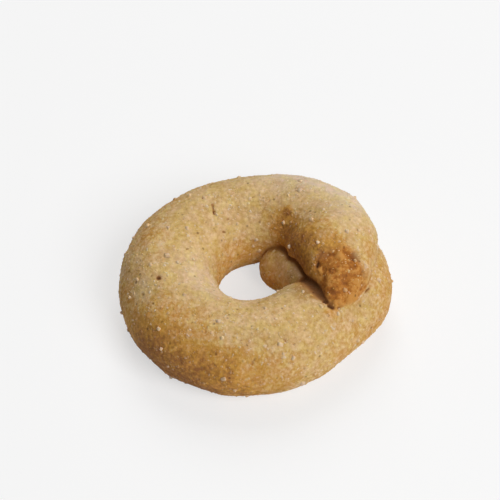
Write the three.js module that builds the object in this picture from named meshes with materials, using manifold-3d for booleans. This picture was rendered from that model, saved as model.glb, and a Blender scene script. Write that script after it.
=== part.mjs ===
import * as THREE from 'three';
import { mergeVertices } from 'three/addons/utils/BufferGeometryUtils.js';
import Module from 'manifold-3d';

// A ring-shaped cookie made from one rope of dough, rolled in sugar. The ends of the rope
// cross at the right: the upper end lies on the lower strand, and the lower end turns in
// and pokes out as a stub into the hole.
// Lengths are in millimetres and angles in degrees. A bearing runs clockwise, seen from
// above, from the right (0) through the front (90), the left (180) and the back (270).

// Middle of the ring, measured from the middle of the whole cookie.
const ringMiddleX = -0.9;
const ringMiddleY = 0.42;

// Oval that the rope follows: its half-lengths and how far its long way is turned.
const ringLong = 18.8;
const ringShort = 17.5;
const ringLean = 42;

// Section of the rope: half-width, half-height and height of its middle over the base.
const ropeHalfWidth = 10.0;
const ropeHalfHeight = 9.4;
const ropeMiddle = 6.9;

// Share by which the rope is thicker at three bearings, and how far each swelling spreads.
const swellings = [
  { bearing: 90, share: 0.05 },
  { bearing: 180, share: 0.09 },
  { bearing: 270, share: 0.01 },
];
const swellSpread = 80;

// Bearing where the lower strand and the upper strand meet, in the thick of the left side.
const strandJoin = 180;

// Lower strand: its rounded end below the crossing, and the bulge of its turn at the right.
const lowerEnd = -46;
const lowerRounding = 25;
const bulgeReach = 2.4;
const bulgeBearing = 7;
const bulgeSpread = 34;

// Upper strand: its blunt end, its taper, its climb over the lower strand and its sideways lean.
const upperEnd = 399;
const upperRounding = 11;
const upperBluntness = 2.6;
const taperStart = 344;
const taperShare = 0.59;
const taperPower = 1.1;
const climbStart = 255;
const climbEnd = 388;
const climbHeight = 9.6;
const leanStart = 336;
const leanReach = 1.45;
const pinchBearing = 355;
const pinchReach = 0.57;
const pinchSpread = 38;
const thinningStart = 270;
const thinningEnd = 356;
const thinningShare = 0.07;
const straightStart = 358;

// Face of the upper end: it leans back and turns a little outwards, and a nick parts it from
// the strand at its inner side.
const faceLean = 31;
const faceTurn = 24;
const faceLeanLength = 60;
const faceTurnLength = 40;
const nickBearing = 381;
const nickSpread = 7;
const nickAround = 142;
const nickAroundSpread = 55;
const nickDepth = 0.6;

// Stub in the hole: its tip, the way that it points, its widths, its top and its rounding.
// Behind its tip it spreads to the front and rises, as a saddle that runs into the lower strand.
const stubTipX = 1.65;
const stubTipY = 5.8;
const stubTurn = 185;
const stubLength = 16;
const stubTipHalfWidth = 5.05;
const stubRootHalfWidth = 11.0;
const stubTop = 10.6;
const stubHalfHeight = 5.8;
const stubRounding = 4.45;
const saddleStart = 2;
const saddleEnd = 10;
const saddleShift = 5.6;
const saddleRise = 4.2;

// Uneven hand-rolled dough: low waves all over, and shorter ones on the crumbly upper end.
const lumpWaves = 9;
const lumpLongest = 17;
const lumpShortest = 6.5;
const lumpDepth = 0.18;
const lumpPhase = 1.7;
const crumbWaves = 7;
const crumbLongest = 6;
const crumbShortest = 3.4;
const crumbDepth = 0.22;
const crumbPhase = 2.3;
const crumbStart = 380;
const crumbFull = 390;

// Sugar grains that show from a step away, the largest first.
const grainTries = 160;
const grainLargest = 1.25;
const grainSmallest = 0.7;
const grainMiddleShare = 0.84;
const grainShortShare = 0.7;
const grainStandOut = -0.08;
const grainLowest = 1.2;
const grainClear = 0.9;
const grainSideStart = -35;
const grainSideEnd = 215;

// Fineness of the mesh.
const stationStep = 4;
const roundingSteps = 8;
const sectors = 44;
const stubStations = 12;
const stubSectors = 26;

const probe = 0.01;
const fullTurn = 360;
const plasticNumber = 1.324717957244746;
const goldenAngle = Math.PI * (3 - Math.sqrt(5));

function share(from, to, value) {
  return THREE.MathUtils.clamp((value - from) / (to - from), 0, 1);
}

function ease(from, to, value) {
  return THREE.MathUtils.smoothstep(value, from, to);
}

function hump(value, at, spread) {
  const away = Math.min(Math.abs(value - at) / spread, 1);
  return (1 - away * away) ** 2;
}

function rounded(away, power) {
  return Math.max(1 - away ** power, 0) ** (1 / power);
}

function ringReach(bearing) {
  const turn = THREE.MathUtils.degToRad(-bearing - ringLean);
  return 1 / Math.hypot(Math.cos(turn) / ringLong, Math.sin(turn) / ringShort);
}

function swelling(bearing) {
  return swellings.reduce((sum, one) => sum + one.share * hump(bearing, one.bearing, swellSpread), 1);
}

// The upper strand runs straight on from one bearing, by this length for each degree.
const straightAngle = THREE.MathUtils.degToRad(-straightStart);
const straightStep = THREE.MathUtils.degToRad(ringReach(straightStart));

function lowerSection(bearing) {
  const closing = share(lowerEnd + lowerRounding, lowerEnd, bearing);
  const size = swelling(bearing) * rounded(closing, 2);
  return {
    reach: ringReach(bearing) + bulgeReach * hump(bearing, bulgeBearing, bulgeSpread),
    middle: ropeMiddle,
    halfWidth: ropeHalfWidth * size,
    halfHeight: ropeHalfHeight * size,
    lean: 0,
    turn: 0,
  };
}

function upperSection(bearing) {
  const closing = share(upperEnd - upperRounding, upperEnd, bearing);
  const taper = 1 - taperShare * share(taperStart, upperEnd, bearing) ** taperPower;
  const size = swelling(bearing) * taper * rounded(closing, upperBluntness);
  const lean = leanReach * ease(leanStart, upperEnd, bearing);
  const pinch = pinchReach * hump(bearing, pinchBearing, pinchSpread);
  const leaning = ease(upperEnd - faceLeanLength, upperEnd - upperRounding, bearing);
  const turning = ease(upperEnd - faceTurnLength, upperEnd - upperRounding, bearing);
  return {
    reach: ringReach(Math.min(bearing, straightStart)) + lean - pinch,
    middle: ropeMiddle + climbHeight * ease(climbStart, climbEnd, bearing),
    halfWidth: ropeHalfWidth * size,
    halfHeight: ropeHalfHeight * size * (1 - thinningShare * ease(thinningStart, thinningEnd, bearing)),
    lean: (leaning * Math.tan(THREE.MathUtils.degToRad(faceLean))) / straightStep,
    turn: (turning * Math.tan(THREE.MathUtils.degToRad(faceTurn))) / straightStep,
  };
}

function stubSection(along) {
  const closing = share(stubRounding, 0, along);
  const saddle = ease(saddleStart, saddleEnd, along);
  const width = THREE.MathUtils.lerp(stubTipHalfWidth, stubRootHalfWidth, saddle);
  return {
    reach: saddleShift * saddle,
    middle: stubTop - stubHalfHeight + saddleRise * saddle,
    halfWidth: width * rounded(closing, 2),
    halfHeight: stubHalfHeight * rounded(closing, 2),
    lean: 0,
    turn: 0,
  };
}

// Plan position of a spot on a strand, from its bearing and its reach, and the way back.
function strandSpot(bearing, reach) {
  const angle = THREE.MathUtils.degToRad(-Math.min(bearing, straightStart));
  const ahead = straightStep * Math.max(bearing - straightStart, 0);
  const x = reach * Math.cos(angle) + ahead * Math.sin(angle);
  const y = reach * Math.sin(angle) - ahead * Math.cos(angle);
  return [ringMiddleX + x, ringMiddleY + y];
}

function lowerPlace(point) {
  const x = point.x - ringMiddleX;
  const y = point.y - ringMiddleY;
  const bearing = -THREE.MathUtils.radToDeg(Math.atan2(y, x));
  return [lowerEnd + THREE.MathUtils.euclideanModulo(bearing - lowerEnd, fullTurn), Math.hypot(x, y)];
}

function upperPlace(point) {
  const x = point.x - ringMiddleX;
  const y = point.y - ringMiddleY;
  const ahead = x * Math.sin(straightAngle) - y * Math.cos(straightAngle);
  const reach = x * Math.cos(straightAngle) + y * Math.sin(straightAngle);
  if (ahead > 0 && reach > 0) {
    return [straightStart + ahead / straightStep, reach];
  }
  const bearing = -THREE.MathUtils.radToDeg(Math.atan2(y, x));
  return [THREE.MathUtils.euclideanModulo(bearing, fullTurn), Math.hypot(x, y)];
}

// The same for the stub, from the distance behind its tip and the distance to its side.
const stubAngle = THREE.MathUtils.degToRad(stubTurn);

function stubSpot(along, side) {
  const x = stubTipX - along * Math.cos(stubAngle) - side * Math.sin(stubAngle);
  const y = stubTipY - along * Math.sin(stubAngle) + side * Math.cos(stubAngle);
  return [ringMiddleX + x, ringMiddleY + y];
}

function stubPlace(point) {
  const x = point.x - ringMiddleX - stubTipX;
  const y = point.y - ringMiddleY - stubTipY;
  const along = -x * Math.cos(stubAngle) - y * Math.sin(stubAngle);
  return [along, y * Math.cos(stubAngle) - x * Math.sin(stubAngle)];
}

// Sum of plane waves whose directions follow a spiral over a ball, with even steps of length.
function waves(point, count, longest, shortest, phase) {
  let sum = 0;
  for (let i = 0; i < count; i += 1) {
    const up = 1 - (2 * i + 1) / count;
    const out = Math.sqrt(1 - up * up);
    const turn = goldenAngle * i;
    const length = THREE.MathUtils.lerp(longest, shortest, i / (count - 1));
    const along = point.x * out * Math.cos(turn) + point.y * out * Math.sin(turn) + point.z * up;
    sum += Math.sin((2 * Math.PI * along) / length + phase * (i + 1));
  }
  return sum / Math.sqrt(count);
}

function relief(point, body, station, around) {
  const lumps = lumpDepth * waves(point, lumpWaves, lumpLongest, lumpShortest, lumpPhase);
  if (body.crumbly) {
    const crumbs = crumbDepth * waves(point, crumbWaves, crumbLongest, crumbShortest, crumbPhase);
    const side = hump(THREE.MathUtils.radToDeg(around), nickAround, nickAroundSpread);
    const nick = nickDepth * side * hump(station, nickBearing, nickSpread);
    return lumps + crumbs * ease(crumbStart, crumbFull, station) - nick;
  }
  return lumps;
}

function smoothPoint(body, station, around) {
  const section = body.sectionAt(station);
  const rise = section.halfHeight * Math.sin(around);
  const side = section.halfWidth * Math.cos(around);
  const [x, y] = body.spot(station - section.lean * rise - section.turn * side, section.reach + side);
  return new THREE.Vector3(x, y, section.middle + rise);
}

function surfaceNormal(body, station, around) {
  const ahead = smoothPoint(body, station + probe, around);
  const along = ahead.sub(smoothPoint(body, station - probe, around));
  const round = smoothPoint(body, station, around + probe);
  const across = round.sub(smoothPoint(body, station, around - probe));
  return across.cross(along).normalize().multiplyScalar(body.outward);
}

function doughPoint(body, station, around) {
  const point = smoothPoint(body, station, around);
  const depth = relief(point, body, station, around);
  return point.addScaledVector(surfaceNormal(body, station, around), depth);
}

function contains(body, point, clear) {
  const [station, side] = body.place(point);
  if (station < body.first || station > body.last) {
    return false;
  }
  const section = body.sectionAt(station);
  const wide = (side - section.reach) / (section.halfWidth + clear);
  const high = (point.z - section.middle) / (section.halfHeight + clear);
  return wide * wide + high * high < 1;
}

// Stations from the rounded end, close together at its tip, then evenly to the plain end.
function stationsFrom(end, rounding, plainEnd, steps) {
  const stations = [];
  for (let i = 1; i <= roundingSteps; i += 1) {
    stations.push(end + rounding * (1 - Math.cos((i / roundingSteps) * (Math.PI / 2))));
  }
  for (let i = 1; i <= steps; i += 1) {
    stations.push(THREE.MathUtils.lerp(end + rounding, plainEnd, i / steps));
  }
  return stations;
}

function strandSteps(end, rounding) {
  return Math.round(Math.abs(strandJoin - end - rounding) / stationStep);
}

const lower = {
  sectionAt: lowerSection,
  spot: strandSpot,
  place: lowerPlace,
  first: lowerEnd,
  last: strandJoin,
  outward: 1,
  crumbly: false,
  sectors,
  tip: lowerEnd,
  stations: stationsFrom(lowerEnd, lowerRounding, strandJoin, strandSteps(lowerEnd, lowerRounding)),
};

const upper = {
  sectionAt: upperSection,
  spot: strandSpot,
  place: upperPlace,
  first: strandJoin,
  last: upperEnd,
  outward: 1,
  crumbly: true,
  sectors,
  tip: upperEnd,
  stations: stationsFrom(upperEnd, -upperRounding, strandJoin, strandSteps(upperEnd, -upperRounding)),
};

const stub = {
  sectionAt: stubSection,
  spot: stubSpot,
  place: stubPlace,
  first: 0,
  last: stubLength,
  outward: -1,
  crumbly: false,
  sectors: stubSectors,
  tip: 0,
  stations: stationsFrom(0, stubRounding, stubLength, stubStations),
};

const bodies = [lower, upper, stub];

const wasm = await Module();
wasm.setup();

function solidFrom(positions, triangles) {
  return new wasm.Manifold(new wasm.Mesh({
    numProp: 3,
    vertProperties: new Float32Array(positions),
    triVerts: new Uint32Array(triangles),
  }));
}

// Closed skin of one body: a tip, rings of points and a flat lid at the plain end.
function bodySolid(body) {
  const positions = [...smoothPoint(body, body.tip, 0)];
  const triangles = [];
  const count = body.sectors;
  for (const station of body.stations) {
    for (let i = 0; i < count; i += 1) {
      positions.push(...doughPoint(body, station, (2 * Math.PI * i) / count));
    }
  }
  const section = body.sectionAt(body.stations.at(-1));
  const [lidX, lidY] = body.spot(body.stations.at(-1), section.reach);
  const lid = positions.length / 3;
  positions.push(lidX, lidY, section.middle);
  const rings = body.stations.length;
  for (let i = 0; i < count; i += 1) {
    const next = (i + 1) % count;
    triangles.push(0, 1 + next, 1 + i);
    for (let ring = 0; ring < rings - 1; ring += 1) {
      const near = 1 + ring * count;
      const far = near + count;
      triangles.push(near + i, near + next, far + next);
      triangles.push(near + i, far + next, far + i);
    }
    const last = 1 + (rings - 1) * count;
    triangles.push(last + i, last + next, lid);
  }
  const turnsOver = (body.tip < body.stations.at(-1)) !== (body.outward > 0);
  if (turnsOver) {
    for (let i = 0; i < triangles.length; i += 3) {
      [triangles[i], triangles[i + 1]] = [triangles[i + 1], triangles[i]];
    }
  }
  return solidFrom(positions, triangles);
}

function fraction(value) {
  return value - Math.floor(value);
}

// Repeatable draw between 0 and 1 for one grain, one lane for each thing drawn.
function draw(grain, lane) {
  return fraction(Math.sin(grain * 12.9898 + lane * 78.233) * 43758.5453);
}

function grainSolid(point, normal, size, grain) {
  const box = new THREE.BoxGeometry(size, size * grainMiddleShare, size * grainShortShare);
  box.deleteAttribute('normal');
  box.deleteAttribute('uv');
  const block = mergeVertices(box);
  const spin = new THREE.Euler(...[1, 2, 3].map((lane) => 2 * Math.PI * draw(grain, lane)));
  const place = point.clone().addScaledVector(normal, grainStandOut * size);
  block.applyMatrix4(new THREE.Matrix4().makeRotationFromEuler(spin).setPosition(place));
  return solidFrom(block.attributes.position.array, block.index.array);
}

// Grains spread evenly over the length of both strands and around their section. The outer
// side of the ring is longer than the inner side, so it keeps more of them.
function grainSolids() {
  const grains = [];
  const length = upperEnd - lowerEnd;
  for (let grain = 0; grain < grainTries; grain += 1) {
    const bearing = lowerEnd + length * fraction(0.5 + grain / plasticNumber);
    const body = bearing < strandJoin ? lower : upper;
    const turn = fraction(0.5 + grain / plasticNumber ** 2);
    const around = THREE.MathUtils.degToRad(THREE.MathUtils.lerp(grainSideStart, grainSideEnd, turn));
    const section = body.sectionAt(bearing);
    const outer = section.reach + ropeHalfWidth;
    const kept = draw(grain, 0) * outer < section.reach + section.halfWidth * Math.cos(around);
    const point = doughPoint(body, bearing, around);
    const covered = bodies.some((other) => other !== body && contains(other, point, grainClear));
    if (kept && !covered && point.z > grainLowest) {
      const size = THREE.MathUtils.lerp(grainLargest, grainSmallest, Math.sqrt(grain / grainTries));
      grains.push(grainSolid(point, surfaceNormal(body, bearing, around), size, grain));
    }
  }
  return grains;
}

// Everything below the base is cut off, which leaves the flat sole that the cookie bakes on.
function cutSole(solid) {
  const wide = 4 * (ringLong + ropeHalfWidth);
  const deep = 2 * ropeHalfHeight;
  const box = new THREE.BoxGeometry(wide, wide, deep);
  box.deleteAttribute('normal');
  box.deleteAttribute('uv');
  box.translate(0, 0, -deep / 2);
  const block = mergeVertices(box);
  return solid.subtract(solidFrom(block.attributes.position.array, block.index.array));
}

const dough = bodies.map(bodySolid).reduce((whole, one) => whole.add(one));
const sugared = grainSolids().reduce((whole, one) => whole.add(one), dough);
const skin = cutSole(sugared).getMesh();

const geometry = new THREE.BufferGeometry();
geometry.setAttribute('position', new THREE.BufferAttribute(new Float32Array(skin.vertProperties), 3));
geometry.setIndex(new THREE.BufferAttribute(new Uint32Array(skin.triVerts), 1));
geometry.computeVertexNormals();

const cookie = new THREE.Mesh(geometry, new THREE.MeshStandardMaterial({
  color: new THREE.Color(0xc9a468),
  roughness: 0.82,
  metalness: 0,
}));
cookie.name = 'cookie';

const group = new THREE.Group();
group.name = 'ring_cookie';
group.add(cookie);

export default group;
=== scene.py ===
"""Dresses a sugared ring cookie around its CAD frame: baked dough, sugar crystals and a plain stage."""

import math
from collections import namedtuple

import bpy
import numpy as np
from bpy.props import FloatProperty, FloatVectorProperty, IntProperty, PointerProperty
from mathutils import Euler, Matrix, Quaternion, Vector


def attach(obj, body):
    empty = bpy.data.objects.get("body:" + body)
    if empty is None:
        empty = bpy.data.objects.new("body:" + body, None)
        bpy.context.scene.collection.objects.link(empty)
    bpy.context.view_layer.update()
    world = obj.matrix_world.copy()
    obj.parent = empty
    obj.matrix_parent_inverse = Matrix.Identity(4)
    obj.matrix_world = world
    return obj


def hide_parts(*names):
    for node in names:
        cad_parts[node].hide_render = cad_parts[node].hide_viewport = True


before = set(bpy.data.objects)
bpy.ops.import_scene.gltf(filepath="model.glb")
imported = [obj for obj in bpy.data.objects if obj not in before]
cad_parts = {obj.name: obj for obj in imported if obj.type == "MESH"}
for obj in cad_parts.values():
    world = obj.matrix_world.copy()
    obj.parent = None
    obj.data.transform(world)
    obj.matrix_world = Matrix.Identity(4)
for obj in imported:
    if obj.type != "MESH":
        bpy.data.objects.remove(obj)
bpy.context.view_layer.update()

bl_info = {
    "name": "Ring cookie",
    "version": (1, 0, 0),
    "blender": (4, 5, 0),
    "location": "View3D > Sidebar > Cookie",
    "description": "Builds a sugared ring cookie of one rope of dough around its CAD frame",
    "category": "Add Mesh",
}

MILLIMETRE = 0.001
GOLDEN_ANGLE = math.pi * (3 - math.sqrt(5))
PLASTIC_NUMBER = 1.324717957244746
TINY = 1e-9
FAR_OUTSIDE = 99.0

# A section of a body: how far out and how high its middle lies, its half-width and half-height, and how
# far its face leans and turns along the rope for each millimetre up and across.
Section = namedtuple("Section", "reach middle wide high lean turn")

# A body of the rope: what gives its section, a spot and a point's place on it, its first and last station,
# and the sign that turns its normals out. A station is a bearing, or a length along the stub.
Body = namedtuple("Body", "section spot place first last sign")

# Sizes of the rope that stay as they are, in millimetres and degrees. Bearings run clockwise, seen from
# above, from the right (0) through the front, the left and the back. The lower strand and the upper strand
# of the rope meet at the left.
FRONT = 90
LEFT = 180
BACK = 270
STRAND_JOIN = LEFT
STRAND_OVERLAP = 4
SWELL_SPREAD = 80

LOWER_END = -46
LOWER_ROUNDING = 25
BULGE_BEARING = 7
BULGE_SPREAD = 34

UPPER_END = 399
UPPER_ROUNDING = 11
UPPER_BLUNTNESS = 2.6
TAPER_START = 344
TAPER_POWER = 1.1
CLIMB_START = 255
CLIMB_END = 388
LEAN_START = 336
LEAN_REACH = 1.45
PINCH_BEARING = 355
PINCH_REACH = 0.57
PINCH_SPREAD = 38
THINNING_START = 270
THINNING_END = 356
THINNING_SHARE = 0.07
STRAIGHT_START = 358
FACE_LEAN_LENGTH = 60
FACE_TURN_LENGTH = 40

NICK_BEARING = 381
NICK_SPREAD = 7
NICK_AROUND = 142
NICK_AROUND_SPREAD = 55

STUB_TURN = 185
STUB_LENGTH = 16
STUB_ROUNDING = 4.45
STUB_HALF_HEIGHT = 5.8
SADDLE_START = 2
SADDLE_END = 10
SADDLE_SHIFT = 5.6
SADDLE_RISE = 4.2

LUMP_WAVES = 9
LUMP_LONGEST = 17
LUMP_SHORTEST = 6.5
LUMP_PHASE = 1.7

# Large grains of the solid: how many places are tried, where they lie, their shorter sides, how worn and how
# deep they are, and how they catch the light.
GRAIN_TRIES = 160
GRAIN_LOWEST = 1.2
GRAIN_CLEAR = 0.9
GRAIN_SIDE = (-35, 215)
GRAIN_MIDDLE_SHARE = 0.84
GRAIN_SHORT_SHARE = 0.7
LARGE_WORN = 0.28
LARGE_SUNK = 0.08
LARGE_GLINTS = (0.3, 0.85)
LARGE_GLINT_LEAST = 0.75
LARGE_GLINT_GAIN = 0.55
LARGE_GLINT_BAKE = 0.75
TORN_GLINT_LOSS = 0.7

# Steps of the draw that places the large grains, as in the solid.
DRAW_GRAIN = 12.9898
DRAW_LANE = 78.233
DRAW_SCALE = 43758.5453

# Finer sugar: where it lies, its shorter sides and its glint.
SUGAR_LOWEST = 0.7
SUGAR_UNDERSIDE = -0.6
SUGAR_PIT = 0.3
SUGAR_TORN_LOSS = 0.8
MIDDLE_SIDES = (0.72, 0.98)
SHORT_SIDES = (0.55, 0.85)
MEDIUM_OVERSIZE = 1.5
MEDIUM_WORN = 0.34
BAKED_GLINT_LOSS = 0.75

# Stage, in metres; the camera's sensor in millimetres.
FLOOR_SIDE = 3.0
LIGHT_SIDE = 0.7
KEY_PLACE = (0.55, -0.55, 0.77)
FILL_PLACE = (0.0, 0.78, 0.78)
SENSOR_WIDTH = 36
NEAREST = 0.01

# Meshing of the rope before it is fused, and steps that find a point's place on the upper strand.
SETTLING_STEPS = 8
CAP_RINGS = 24
STRAND_STEP = 1.0
STRAND_SECTORS = 180
STUB_STEP = 0.35
STUB_SECTORS = 110


def real(value, name, description, **kind):
    """A number property; its kind may be a unit and a subtype."""
    return FloatProperty(name=name, description=description, default=value, **kind)


def metres(value, name, description):
    """A length property, given in millimetres and held in metres."""
    return real(value * MILLIMETRE, name, description, subtype="DISTANCE", unit="LENGTH", precision=5)


def degrees(value, name, description):
    """An angle property, given in degrees."""
    return real(math.radians(value), name, description, subtype="ANGLE", unit="ROTATION")


def share(value, name, description):
    """A plain share of another size."""
    return real(value, name, description, subtype="FACTOR")


def colour(value, name, description):
    """A linear colour property."""
    return FloatVectorProperty(
        name=name, description=description, default=value, size=3, subtype="COLOR", min=0, max=1
    )


def count(value, name, description):
    """A whole number property."""
    return IntProperty(name=name, description=description, default=value, min=0)


class RopeSizes(bpy.types.PropertyGroup):
    """Sizes of the rope of dough and of the ring that it follows."""

    ring_x: metres(-0.9, "Ring middle X", "Middle of the ring from the middle of the cookie")
    ring_y: metres(0.42, "Ring middle Y", "Middle of the ring from the middle of the cookie")
    ring_long: metres(18.8, "Ring long half", "Long half-length of the oval that the rope follows")
    ring_short: metres(17.5, "Ring short half", "Short half-length of the oval that the rope follows")
    ring_lean: degrees(42, "Ring lean", "Turn of the oval's long way")
    half_width: metres(10.0, "Rope half-width", "Half-width of the rope")
    half_height: metres(9.4, "Rope half-height", "Half-height of the rope before its sole is cut")
    middle: metres(6.9, "Rope middle", "Height of the rope's middle over the base")
    front_swell: share(0.05, "Front swelling", "Share by which the front is thicker")
    left_swell: share(0.09, "Left swelling", "Share by which the left side is thicker")
    back_swell: share(0.01, "Back swelling", "Share by which the back is thicker")
    bulge: metres(2.4, "Bulge", "How far the turn of the lower strand stands out at the right")
    climb: metres(9.6, "Climb", "How far the upper end climbs over the lower strand")
    taper: share(0.59, "Taper", "Share of its size that the upper end loses")
    face_lean: degrees(31, "Face lean", "How far the face of the upper end leans back")
    face_turn: degrees(24, "Face turn", "How far the face of the upper end turns outwards")
    nick: metres(0.6, "Nick", "Depth of the nick beside the face of the upper end")
    stub_x: metres(1.65, "Stub tip X", "Tip of the stub from the middle of the ring")
    stub_y: metres(5.8, "Stub tip Y", "Tip of the stub from the middle of the ring")
    stub_tip: metres(5.05, "Stub tip half-width", "Half-width of the stub at its tip")
    stub_root: metres(11.0, "Stub root half-width", "Half-width of the stub at its root")
    stub_top: metres(10.6, "Stub top", "Height of the stub")
    lumps: metres(0.18, "Lumps", "Depth of the low waves of hand-rolled dough")


class CrustLooks(bpy.types.PropertyGroup):
    """Relief and colours of the baked dough."""

    voxel: metres(0.31, "Mesh fineness", "Spacing of the dough's mesh")
    crumb: metres(0.06, "Crumb", "Depth of the sandy crumb all over")
    torn: metres(0.55, "Torn face", "Depth of the craggy relief on the upper end")
    pits: count(80, "Pits", "Pinholes scattered over the dough")
    pit_depth: metres(0.35, "Pit depth", "Depth of the pinholes")
    crease: metres(0.4, "Crease", "Depth of the crease beside the upper end")
    frost: colour((0.755, 0.58, 0.386), "Frosted crust", "Outer back where the sugar lies thickest")
    pale: colour((0.703, 0.499, 0.243), "Pale crust", "Sugared crust where it is palest")
    gold: colour((0.605, 0.366, 0.115), "Golden crust", "Golden blotches of the crust")
    toast: colour((0.6, 0.297, 0.056), "Toasted crust", "Crust that has begun to brown")
    brown: colour((0.34, 0.135, 0.03), "Browned crust", "Low outer sides that browned most")
    torn_colour: colour((0.44, 0.155, 0.016), "Torn face", "Bare browned dough of the upper end")
    # Raised crumbs: partly paler crumb, partly painted light on their tops.
    torn_crumb_and_light: colour((0.68, 0.335, 0.075), "Torn crumbs and painted light", "Raised crumbs of the torn face")
    # Painted shade in the hollows of the torn face.
    torn_hollow_shade: colour((0.23, 0.07, 0.01), "Painted shade in torn hollows", "Hollows of the torn face")
    # Dark specks of the crust, and the colour of the painted shade in pits, cracks and the crease.
    dark: colour((0.085, 0.026, 0.001), "Dark specks and painted shade", "Pinholes, cracks and creases")
    # Colour of the painted shade beside the crease and on the stub.
    painted_shade: colour((0.2, 0.14, 0.066), "Painted shade", "Crust that little sugar and heat reached")


class SugarLooks(bpy.types.PropertyGroup):
    """Sizes, numbers and colours of the sugar."""

    largest: metres(1.25, "Largest grain", "Longest side of the largest grain")
    large: metres(0.7, "Large grain", "Longest side of the smallest of the large grains")
    medium: metres(0.4, "Medium grain", "Longest side of the smallest of the medium grains")
    fine: metres(0.18, "Fine grain", "Longest side of the finest grains")
    medium_count: count(4400, "Medium grains", "Number of medium grains")
    fine_count: count(8000, "Fine grains", "Number of fine grains")
    clear: colour((0.8, 0.64, 0.47), "Bright sugar", "Grains that catch the light")
    seed: count(7, "Seed", "Start of the repeatable draws")


class StageLooks(bpy.types.PropertyGroup):
    """Camera, light and floor."""

    distance: metres(480, "Camera distance", "From the camera to the middle of the cookie")
    elevation: degrees(50, "Camera elevation", "Height of the camera over the horizon")
    aim_height: metres(8, "Aim height", "Height of the spot that the camera is set on")
    scale: real(4.59, "Scale", "Pixels for a millimetre at that spot")
    spot_x: real(252.4, "Spot X", "Place of that spot across the image", subtype="PIXEL")
    spot_y: real(279.0, "Spot Y", "Place of that spot down the image", subtype="PIXEL")
    image: count(500, "Image side", "Width and height of the image, in pixels")
    key_power: real(9.32, "Key light", "Power of the light at the front right", unit="POWER")
    fill_power: real(6.2, "Fill light", "Power of the light at the back", unit="POWER")
    sky: real(0.07, "Sky", "Strength of the even light all round")
    floor: colour((0.92, 0.92, 0.92), "Floor", "Colour of the floor")


def portion(start, end, value):
    """How far a value lies from start to end, held between 0 and 1."""
    return np.clip((value - start) / (end - start), 0, 1)


def ease(start, end, value):
    """The same with a soft start and end."""
    t = portion(start, end, value)
    return t * t * (3 - 2 * t)


def hump(value, at, spread):
    """1 at a value, falling softly to 0 at its spread."""
    away = np.minimum(np.abs(value - at) / spread, 1)
    return (1 - away * away) ** 2


def rounded(away, power=2):
    """Share of its size that a rounded end keeps, from 1 to 0; a higher power is blunter."""
    return np.maximum(1 - away**power, 0) ** (1 / power)


def waves(points, number, longest, shortest, phase):
    """Plane waves whose directions follow a spiral over a ball, with even steps of length."""
    total = np.zeros(points.shape[:-1])
    for i in range(number):
        up = 1 - (2 * i + 1) / number
        out = math.sqrt(1 - up * up)
        turn = GOLDEN_ANGLE * i
        length = longest + (shortest - longest) * i / (number - 1)
        along = points @ np.array([out * math.cos(turn), out * math.sin(turn), up])
        total += np.sin(2 * math.pi * along / length + phase * (i + 1))
    return total / math.sqrt(number)


def lattice(points, length, seed):
    """Smooth repeatable noise between -1 and 1 whose bumps are about that long."""
    side = 48
    table = np.random.default_rng(seed).uniform(-1, 1, (side, side, side))
    cells = np.floor(points / length).astype(int)
    t = points / length - cells
    t = t * t * (3 - 2 * t)
    total = np.zeros(len(points))
    for corner in np.ndindex(2, 2, 2):
        weight = np.prod(np.where(corner, t, 1 - t), axis=1)
        i, j, k = ((cells + corner) % side).T
        total += weight * table[i, j, k]
    return total


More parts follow.
